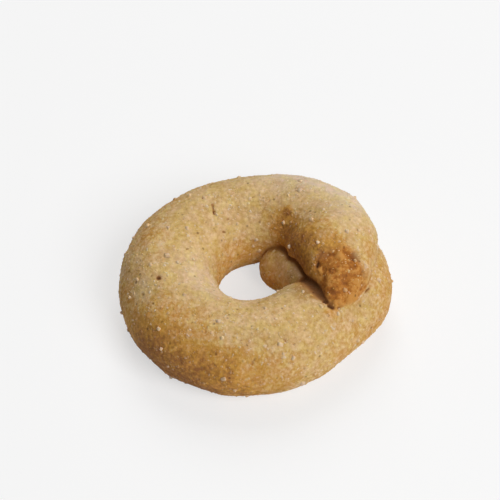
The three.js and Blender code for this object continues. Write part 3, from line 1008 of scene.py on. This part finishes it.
def baked_tint_group(name):
    """Mottled colour of the baked crust, shared by the dough and by the sugar that it shows through."""
    inputs = {**{tone: COLOUR_SOCKET for tone in CRUST_TONES}, "Bake": VALUE_SOCKET}
    wiring = new_group(name, inputs, {"Color": COLOUR_SOCKET})
    given = wiring.add("NodeGroupInput", {})
    # The bake input also carries painted shade beside the upper strand.
    bake_and_shade = given["Bake"]
    mottle = wiring.weighted(wiring.noise(260, 3, 0.55), 0.34, wiring.noise(1150, 3, 0.6), 0.66)
    toned = wiring.blend(wiring.spread(mottle, 0.38, 0.62), given["Pale"], given["Gold"])
    crust = wiring.blend(wiring.spread(bake_and_shade, -0.6, 0.0, 0.9, 0.0), toned, given["Frost"])
    shifted = wiring.maths("ADD", bake_and_shade, wiring.spread(mottle, 0.36, 0.64, -0.3, 0.3), clamp=True)
    amount = wiring.maths("MULTIPLY", shifted, wiring.spread(bake_and_shade, 0.0, 0.15))
    warm = wiring.blend(wiring.spread(amount, 0.0, 0.5), crust, given["Toast"])
    baked = wiring.blend(wiring.spread(amount, 0.5, 1.0), warm, given["Brown"])
    mottled = wiring.blend(1.0, baked, wiring.spread(mottle, 0.38, 0.62, 1.1, 0.92), "MULTIPLY")
    patch = wiring.noise(430, 2, 0.5, layer=7)
    yellowed = wiring.blend(wiring.spread(patch, 0.48, 0.64, 0.0, 0.6), mottled, YELLOW_CAST, "MULTIPLY")
    tinged = wiring.blend(wiring.spread(patch, 0.36, 0.52, 0.6, 0.0), yellowed, PINK_CAST, "MULTIPLY")
    wiring.add("NodeGroupOutput", {"Color": tinged})
    return wiring.tree


def sandy_group(name):
    """Fine sandy grain: a height for bump, and a mask of the darker specks between the grains."""
    wiring = new_group(name, {}, {"Height": VALUE_SOCKET, "Speck": VALUE_SOCKET})
    round_grain = wiring.spread(wiring.cells(1250), 0.0, 0.7, 1.0, 0.0)
    height = wiring.weighted(wiring.noise(1500, 5, 0.7), 0.6, round_grain, 0.5)
    speck = wiring.spread(wiring.cells(330), 0.05, 0.13, 1.0, 0.0)
    wiring.add("NodeGroupOutput", {"Height": height, "Speck": speck})
    return wiring.tree


def crust_tint(wiring, looks):
    """The shared crust colour in this cookie's tones, at each spot's bake."""
    tones = {tone: getattr(looks, tone.lower()) for tone in CRUST_TONES}
    return wiring.group("Baked tint", baked_tint_group, {**tones, "Bake": wiring.mask("bake_and_shade")})["Color"]


def new_material(name):
    """A material, the wiring of its tree, its shader and its output."""
    material = bpy.data.materials.new(name)
    material.use_nodes = True
    tree = material.node_tree
    shader = next(n for n in tree.nodes if n.type == "BSDF_PRINCIPLED")
    output = next(n for n in tree.nodes if n.type == "OUTPUT_MATERIAL")
    return material, Wiring(tree), shader, output


def softness(weight, reach):
    """Shader inputs that let a little light spread under the surface, by a reach in millimetres."""
    return {
        "Subsurface Weight": weight,
        "Subsurface Scale": reach * MILLIMETRE,
        "Subsurface Radius": UNDER_SKIN,
    }


def torn_colour(wiring, looks):
    """Bare dough of the torn face with a fine grit: raised crumbs paler, partly their own colour and partly
    painted light, and painted shade in the hollows.
    """
    grit = wiring.maths("SUBTRACT", wiring.noise(1700, 2, 0.6, layer=3), 0.5)
    crag = wiring.maths("ADD", wiring.mask("crag"), wiring.maths("MULTIPLY", grit, GRIT_STRENGTH))
    raised = wiring.spread(crag, 0.05, 0.55, 0.0, 0.6)
    hollow = wiring.spread(crag, -0.6, 0.0, 0.8, 0.0)
    return wiring.blend(hollow, wiring.blend(raised, looks.torn_colour, looks.torn_crumb_and_light), looks.torn_hollow_shade)


def dough_material(looks):
    """Baked crust, torn at the upper end and with specks, with painted shade beside the crease and on the
    stub, and in pits, cracks and the crease.
    """
    material, wiring, shader, output = new_material("baked_dough")
    sand = wiring.group("Sandy grain", sandy_group, {})
    # Painted shade: a darker, duller colour mixed into the crust beside the crease and on the stub.
    crust = wiring.blend(wiring.mask("painted_shade"), crust_tint(wiring, looks), looks.painted_shade)
    base = wiring.blend(wiring.mask("torn"), crust, torn_colour(wiring, looks))
    speckled = wiring.blend(wiring.maths("MULTIPLY", sand["Speck"], SPECK_STRENGTH), base, looks.dark)
    # Pits, cracks and the crease are painted shade: the crust turns brown, then near black.
    pit = wiring.mask("pit")
    browned = wiring.blend(wiring.spread(pit, 0.0, 0.7), speckled, looks.brown)
    whole = wiring.blend(wiring.spread(pit, 0.45, 1.0, 0.0, 0.96), browned, looks.dark)
    bump = {"Strength": BUMP_STRENGTH, "Distance": BUMP_DISTANCE * MILLIMETRE, "Height": sand["Height"]}
    surface = wiring.feed(shader, {
        "Base Color": whole,
        "Roughness": wiring.spread(wiring.noise(700, 4, 0.6), 0.3, 0.7, 0.68, 0.92),
        "Normal": wiring.add("ShaderNodeBump", bump)["Normal"],
        "Specular IOR Level": 0.38,
        **softness(0.12, 0.6),
    })
    wiring.feed(output, {"Surface": surface["BSDF"]})
    return material


def sugar_material(crust, looks):
    """Sugar that shows the crust through it, but where a grain catches the light."""
    material, wiring, shader, output = new_material("sugar_crystals")
    glint = wiring.mask("glint")
    surface = wiring.feed(shader, {
        "Base Color": wiring.blend(glint, crust_tint(wiring, crust), looks.clear),
        "Roughness": wiring.spread(glint, 0.0, 1.0, 0.7, 0.4),
        "Specular IOR Level": 0.3,
        **softness(0.35, 0.2),
    })
    wiring.feed(output, {"Surface": surface["BSDF"]})
    return material


def floor_material(shade):
    """Matt pale floor with a barely uneven tone, lifted a little where the camera sees it."""
    material, wiring, shader, output = new_material("pale_floor")
    uneven = wiring.spread(wiring.noise(4, 2, 0.5), 0.3, 0.7, 0.0, 0.02)
    surface = wiring.feed(shader, {"Base Color": wiring.blend(uneven, shade, FLOOR_SHADE), "Roughness": 0.9})
    seen = wiring.add("ShaderNodeLightPath", {})["Is Camera Ray"]
    lift = wiring.maths("MULTIPLY", seen, FLOOR_LIFT)
    glow = wiring.add("ShaderNodeEmission", {})["Emission"]
    mixed = wiring.add("ShaderNodeMixShader", {0: lift, 1: surface["BSDF"], 2: glow})
    wiring.feed(output, {"Surface": mixed["Shader"]})
    return material


def show_piece(name, mesh, material):
    """Puts a finished mesh in the scene as a piece that rides on the cookie."""
    piece = bpy.data.objects.new(name, mesh)
    bpy.context.scene.collection.objects.link(piece)
    mesh.materials.clear()
    mesh.materials.append(material)
    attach(piece, "root")
    return piece


class RINGCOOKIE_OT_dough(bpy.types.Operator):
    """Build the baked rope of dough with its crumb, pits, creases and torn end"""

    bl_idname = "ring_cookie.dough"
    bl_label = "Dough"

    def execute(self, context):
        rope = Rope(context.scene.cookie_rope)
        looks = context.scene.cookie_crust
        mesh = fused(joined_rope(rope), looks.voxel)
        points = read_vectors(mesh, "co") / MILLIMETRE
        normals = read_vectors(mesh, "normal")
        torn = torn_mask(rope, points)
        crags = crag_field(points)
        pit = mark_field(rope, points, looks.pits)
        crease = crease_mask(rope, points)
        depth = layered(points, CRUMBS) * looks.crumb * (1 - TORN_CRUMB_LOSS * torn)
        depth += torn * crags * looks.torn - pit * looks.pit_depth - crease * looks.crease
        depth *= ease(*RELIEF_HEIGHTS, points[:, 2]) / MILLIMETRE
        moved = points + normals * depth[:, None]
        moved[:, 2] = np.maximum(moved[:, 2], 0)
        write_points(mesh, moved)
        write_mask(mesh, "bake_and_shade", bake_and_shade_mask(rope, points, normals))
        # Mask of the painted shade beside the crease and on the stub.
        write_mask(mesh, "painted_shade", patch_field(rope, points, PAINTED_SHADE_PATCHES) * (1 - torn))
        write_mask(mesh, "torn", torn)
        # Crag height of the torn face, paler below and browner in spots: it paints light on the crumbs and
        # shade in the hollows.
        write_mask(mesh, "crag", crags + face_light(rope, points))
        # Painted shade in pits, cracks and the crease, in one mask.
        write_mask(mesh, "pit", np.clip(pit + CREASE_PAINTED_SHADE * crease, 0, 1))
        piece = show_piece("dough", mesh, dough_material(looks))
        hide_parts("cookie")
        return {"FINISHED"}


CUBE = np.array([[x, y, z] for x in (-1, 1) for y in (-1, 1) for z in (-1, 1)])
SQUARE = ((-1, -1), (1, -1), (1, 1), (-1, 1))


def block_shape():
    """Corners and faces of a plain block of unit side."""
    faces = [(0, 1, 3, 2), (4, 6, 7, 5), (0, 4, 5, 1), (2, 3, 7, 6), (0, 2, 6, 4), (1, 5, 7, 3)]
    return CUBE / 2, faces


def crystal_shape(worn):
    """Corners and faces of a block of unit side whose edges and corners are worn off by that share."""
    corners = []
    for sign in CUBE:
        for axis in range(3):
            spot = sign * (1 - worn)
            spot[axis] = sign[axis]
            corners.append(spot / 2)
    corners = np.array(corners)
    index = {tuple(sign): 3 * i for i, sign in enumerate(CUBE)}

    def at(axis, along, a, b):
        """First of the three points at a corner, from its sign along an axis and along the next two."""
        return index[tuple(np.roll((along, a, b), axis))]

    faces = [(3 * i, 3 * i + 1, 3 * i + 2) for i in range(len(CUBE))]
    for axis in range(3):
        one, two = (axis + 1) % 3, (axis + 2) % 3
        for along in (-1, 1):
            faces.append(tuple(at(axis, along, a, b) + axis for a, b in SQUARE))
        for a, b in SQUARE:
            start, end = at(axis, -1, a, b), at(axis, 1, a, b)
            faces.append((start + one, start + two, end + two, end + one))
    turned = []
    for face in faces:
        ring = corners[list(face)]
        out = np.cross(ring[1] - ring[0], ring[2] - ring[0]) @ ring.mean(axis=0)
        turned.append(face if out > 0 else face[::-1])
    return corners, turned


def random_turns(draw, number):
    """Rotation matrices spread evenly over all directions."""
    return np.array([Quaternion(q).normalized().to_matrix() for q in draw.normal(size=(number, 4))])


def grain_mesh(name, shape, centres, sizes, turns, masks):
    """All grains of one kind as one mesh, with each grain's masks."""
    corners, faces = shape
    local = corners[None] * sizes[:, None, :]
    points = np.einsum("nij,nkj->nki", turns, local) + centres[:, None, :]
    number = len(corners)
    starts = np.arange(len(centres)) * number
    mesh = bpy.data.meshes.new(name)
    sides = [tuple(start + v for v in face) for start in starts.tolist() for face in faces]
    mesh.from_pydata((points.reshape(-1, 3) * MILLIMETRE).tolist(), [], sides)
    for key, values in masks.items():
        write_mask(mesh, key, np.repeat(values, number))
    mesh.shade_smooth()
    mesh.update()
    return mesh


def fraction(value):
    """What is left of a value over its whole part."""
    return value - np.floor(value)


def drawn(grain, lane):
    """Repeatable draw between 0 and 1 for one grain, one lane for each thing drawn."""
    return fraction(np.sin(grain * DRAW_GRAIN + lane * DRAW_LANE) * DRAW_SCALE)


def large_grains(rope, looks):
    """Places, longest sides and turns of the large grains that the solid carries too."""
    grains = np.arange(GRAIN_TRIES)
    bearing = LOWER_END + (UPPER_END - LOWER_END) * fraction(0.5 + grains / PLASTIC_NUMBER)
    turn = fraction(0.5 + grains / PLASTIC_NUMBER**2)
    around = np.radians(GRAIN_SIDE[0] + (GRAIN_SIDE[1] - GRAIN_SIDE[0]) * turn)
    sizes = looks.largest + (looks.large - looks.largest) * np.sqrt(grains / GRAIN_TRIES)
    spins = 2 * math.pi * np.stack([drawn(grains, lane) for lane in (1, 2, 3)], -1)
    spots, outs, chosen = [], [], []
    for name, mine in (("lower", bearing < STRAND_JOIN), ("upper", bearing >= STRAND_JOIN)):
        ids = np.flatnonzero(mine)
        section = rope.bodies()[name].section(bearing[ids])
        out = section.reach + section.wide * np.cos(around[ids])
        kept = drawn(ids, 0) * (section.reach + rope.half_width) < out
        points = rope.dough(name, bearing[ids], around[ids])
        kept &= ~rope.covered(name, points, GRAIN_CLEAR) & (points[:, 2] > GRAIN_LOWEST)
        spots.append(points[kept])
        outs.append(rope.normal(name, bearing[ids], around[ids])[kept])
        chosen.append(ids[kept])
    chosen = np.concatenate(chosen)
    turns = np.array([Euler(spin, "ZYX").to_matrix() for spin in spins[chosen]])
    return np.concatenate(spots), np.concatenate(outs), sizes[chosen] / MILLIMETRE, turns


def scattered(mesh, number, draw):
    """Spots on the dough's mesh spread by area, with their normals and bake, clear of its sole and pits."""
    mesh.calc_loop_triangles()
    triangles = np.empty(len(mesh.loop_triangles) * 3, dtype=np.int32)
    mesh.loop_triangles.foreach_get("vertices", triangles)
    triangles = triangles.reshape(-1, 3)
    points = read_vectors(mesh, "co") / MILLIMETRE
    bake_and_shade, pit, torn = (read_mask(mesh, name)[triangles[:, 0]] for name in ("bake_and_shade", "pit", "torn"))
    a, b, c = (points[triangles[:, i]] for i in range(3))
    cross = np.cross(b - a, c - a)
    area = np.linalg.norm(cross, axis=1)
    out = cross / np.maximum(area[:, None], TINY)
    middle = (a + b + c) / 3
    wanted = area * (middle[:, 2] > SUGAR_LOWEST) * (out[:, 2] > SUGAR_UNDERSIDE)
    wanted = wanted * (pit < SUGAR_PIT) * (1 - SUGAR_TORN_LOSS * torn)
    picks = draw.choice(len(triangles), number, p=wanted / wanted.sum())
    u, v = draw.random((2, number))
    flip = u + v > 1
    u, v = np.where(flip, 1 - u, u), np.where(flip, 1 - v, v)
    spots = a[picks] + u[:, None] * (b - a)[picks] + v[:, None] * (c - a)[picks]
    return spots, out[picks], bake_and_shade[picks]


def uneven_sides(sizes, draw):
    """Three sides a grain, from its longest."""
    middle = draw.uniform(*MIDDLE_SIDES, len(sizes))
    short = draw.uniform(*SHORT_SIDES, len(sizes))
    return np.stack([sizes, sizes * middle, sizes * short], -1)


class RINGCOOKIE_OT_sugar(bpy.types.Operator):
    """Lay the sugar crystals on the dough: large and medium worn blocks, and fine ones between them"""

    bl_idname = "ring_cookie.sugar"
    bl_label = "Sugar"

    def execute(self, context):
        looks = context.scene.cookie_sugar
        dough = bpy.data.objects["dough"].data
        draw = np.random.default_rng(looks.seed)
        material = sugar_material(context.scene.cookie_crust, looks)
        self.lay_large(Rope(context.scene.cookie_rope), looks, draw, material)
        # Name, number, sizes, how rare the large ones are, spread of the glint, how deep they sit, shape.
        kinds = (
            ("sugar_grains", looks.medium_count, (looks.medium, MEDIUM_OVERSIZE * looks.large), 3.2,
             (1.1, 2.0), 0.4, crystal_shape(MEDIUM_WORN)),
            ("sugar_dust", looks.fine_count, (looks.fine, looks.medium), 1.4,
             (0.6, 4.5), 0.36, block_shape()),
        )
        for name, number, (small, large), rarity, glints, sunk, shape in kinds:
            spots, outs, bake_and_shade = scattered(dough, number, draw)
            lengths = (small + (large - small) * draw.random(number) ** rarity) / MILLIMETRE
            sides = uneven_sides(lengths, draw)
            glint = draw.beta(*glints, number) * (1 - BAKED_GLINT_LOSS * np.clip(bake_and_shade, 0, 1))
            centres = spots - sunk * lengths[:, None] * outs
            turns = random_turns(draw, number)
            mesh = grain_mesh(name, shape, centres, sides, turns, {"bake_and_shade": bake_and_shade, "glint": glint})
            show_piece(name, mesh, material)
        return {"FINISHED"}

    def lay_large(self, rope, looks, draw, material):
        """The large grains, at the places that they have on the solid."""
        spots, outs, sizes, turns = large_grains(rope, looks)
        sides = sizes[:, None] * np.array([1, GRAIN_MIDDLE_SHARE, GRAIN_SHORT_SHARE])
        bake_and_shade = bake_and_shade_mask(rope, spots, outs)
        glint = draw.uniform(*LARGE_GLINTS, len(spots)) * (1 - TORN_GLINT_LOSS * torn_mask(rope, spots))
        glint = glint * (LARGE_GLINT_LEAST + LARGE_GLINT_GAIN * np.clip(bake_and_shade, 0, LARGE_GLINT_BAKE))
        centres = spots - LARGE_SUNK * sizes[:, None] * outs
        masks = {"bake_and_shade": bake_and_shade, "glint": glint}
        mesh = grain_mesh("sugar_crystals", crystal_shape(LARGE_WORN), centres, sides, turns, masks)
        show_piece("sugar_crystals", mesh, material)


def soft_light(name, power, place, aim):
    """A square area light at a place, turned towards a spot."""
    light = bpy.data.lights.new(name, "AREA")
    light.energy = power
    light.shape = "SQUARE"
    light.size = LIGHT_SIDE
    lamp = bpy.data.objects.new(name, light)
    lamp.location = place
    lamp.rotation_euler = (Vector(aim) - Vector(place)).to_track_quat("-Z", "Y").to_euler()
    bpy.context.scene.collection.objects.link(lamp)
    return lamp


class RINGCOOKIE_OT_stage(bpy.types.Operator):
    """Set the floor, the soft light and the camera"""

    bl_idname = "ring_cookie.stage"
    bl_label = "Stage"

    def execute(self, context):
        looks = context.scene.cookie_stage
        rope = context.scene.cookie_rope
        mesh = bpy.data.meshes.new("floor")
        half = FLOOR_SIDE / 2
        corners = [(-half, -half, 0), (half, -half, 0), (half, half, 0), (-half, half, 0)]
        mesh.from_pydata(corners, [], [(0, 1, 2, 3)])
        mesh.materials.append(floor_material(looks.floor))
        floor = bpy.data.objects.new("floor", mesh)
        context.scene.collection.objects.link(floor)
        middle = (rope.ring_x, rope.ring_y, looks.aim_height)
        soft_light("key_light", looks.key_power, KEY_PLACE, middle)
        soft_light("fill_light", looks.fill_power, FILL_PLACE, middle)
        world = bpy.data.worlds.new("soft_sky")
        world.use_nodes = True
        sky = next(n for n in world.node_tree.nodes if n.type == "BACKGROUND")
        sky.inputs["Color"].default_value = (1, 1, 1, 1)
        sky.inputs["Strength"].default_value = looks.sky
        context.scene.world = world
        self.set_camera(context.scene, looks, Vector(middle))
        return {"FINISHED"}

    def set_camera(self, scene, looks, spot):
        """Puts that spot of the cookie at its place in the image, at the image's scale."""
        lens = bpy.data.cameras.new("camera")
        lens.sensor_width = SENSOR_WIDTH
        focal = looks.scale * looks.distance / MILLIMETRE
        lens.lens = lens.sensor_width * focal / looks.image
        lens.shift_x = (looks.image / 2 - looks.spot_x) / looks.image
        lens.shift_y = (looks.spot_y - looks.image / 2) / looks.image
        lens.clip_start = NEAREST
        camera = bpy.data.objects.new("camera", lens)
        back = Vector((0, -math.cos(looks.elevation), math.sin(looks.elevation)))
        camera.location = spot + back * looks.distance
        camera.rotation_euler = (-back).to_track_quat("-Z", "Y").to_euler()
        scene.collection.objects.link(camera)
        scene.camera = camera
        scene.view_settings.view_transform = "Standard"
        scene.view_settings.look = "None"


class RINGCOOKIE_PT_panel(bpy.types.Panel):
    """The cookie's steps and values in the 3D view's sidebar"""

    bl_idname = "RINGCOOKIE_PT_panel"
    bl_label = "Ring cookie"
    bl_space_type = "VIEW_3D"
    bl_region_type = "UI"
    bl_category = "Cookie"

    def draw(self, context):
        for step in ("dough", "sugar", "stage"):
            self.layout.operator(f"ring_cookie.{step}")
        for name, group in GROUPS.items():
            box = self.layout.box()
            values = getattr(context.scene, name)
            for value in group.__annotations__:
                box.prop(values, value)


GROUPS = {
    "cookie_rope": RopeSizes,
    "cookie_crust": CrustLooks,
    "cookie_sugar": SugarLooks,
    "cookie_stage": StageLooks,
}
CLASSES = (
    *GROUPS.values(),
    RINGCOOKIE_OT_dough,
    RINGCOOKIE_OT_sugar,
    RINGCOOKIE_OT_stage,
    RINGCOOKIE_PT_panel,
)


def register():
    """Registers the classes and gives each scene its values."""
    for made in CLASSES:
        bpy.utils.register_class(made)
    for name, group in GROUPS.items():
        setattr(bpy.types.Scene, name, PointerProperty(type=group))


def unregister():
    """Takes back what register did."""
    for name in GROUPS:
        delattr(bpy.types.Scene, name)
    for made in reversed(CLASSES):
        bpy.utils.unregister_class(made)


def main():
    """Builds every piece and the stage."""
    register()
    bpy.ops.ring_cookie.dough()
    bpy.ops.ring_cookie.sugar()
    bpy.ops.ring_cookie.stage()


if __name__ == "__main__":
    main()
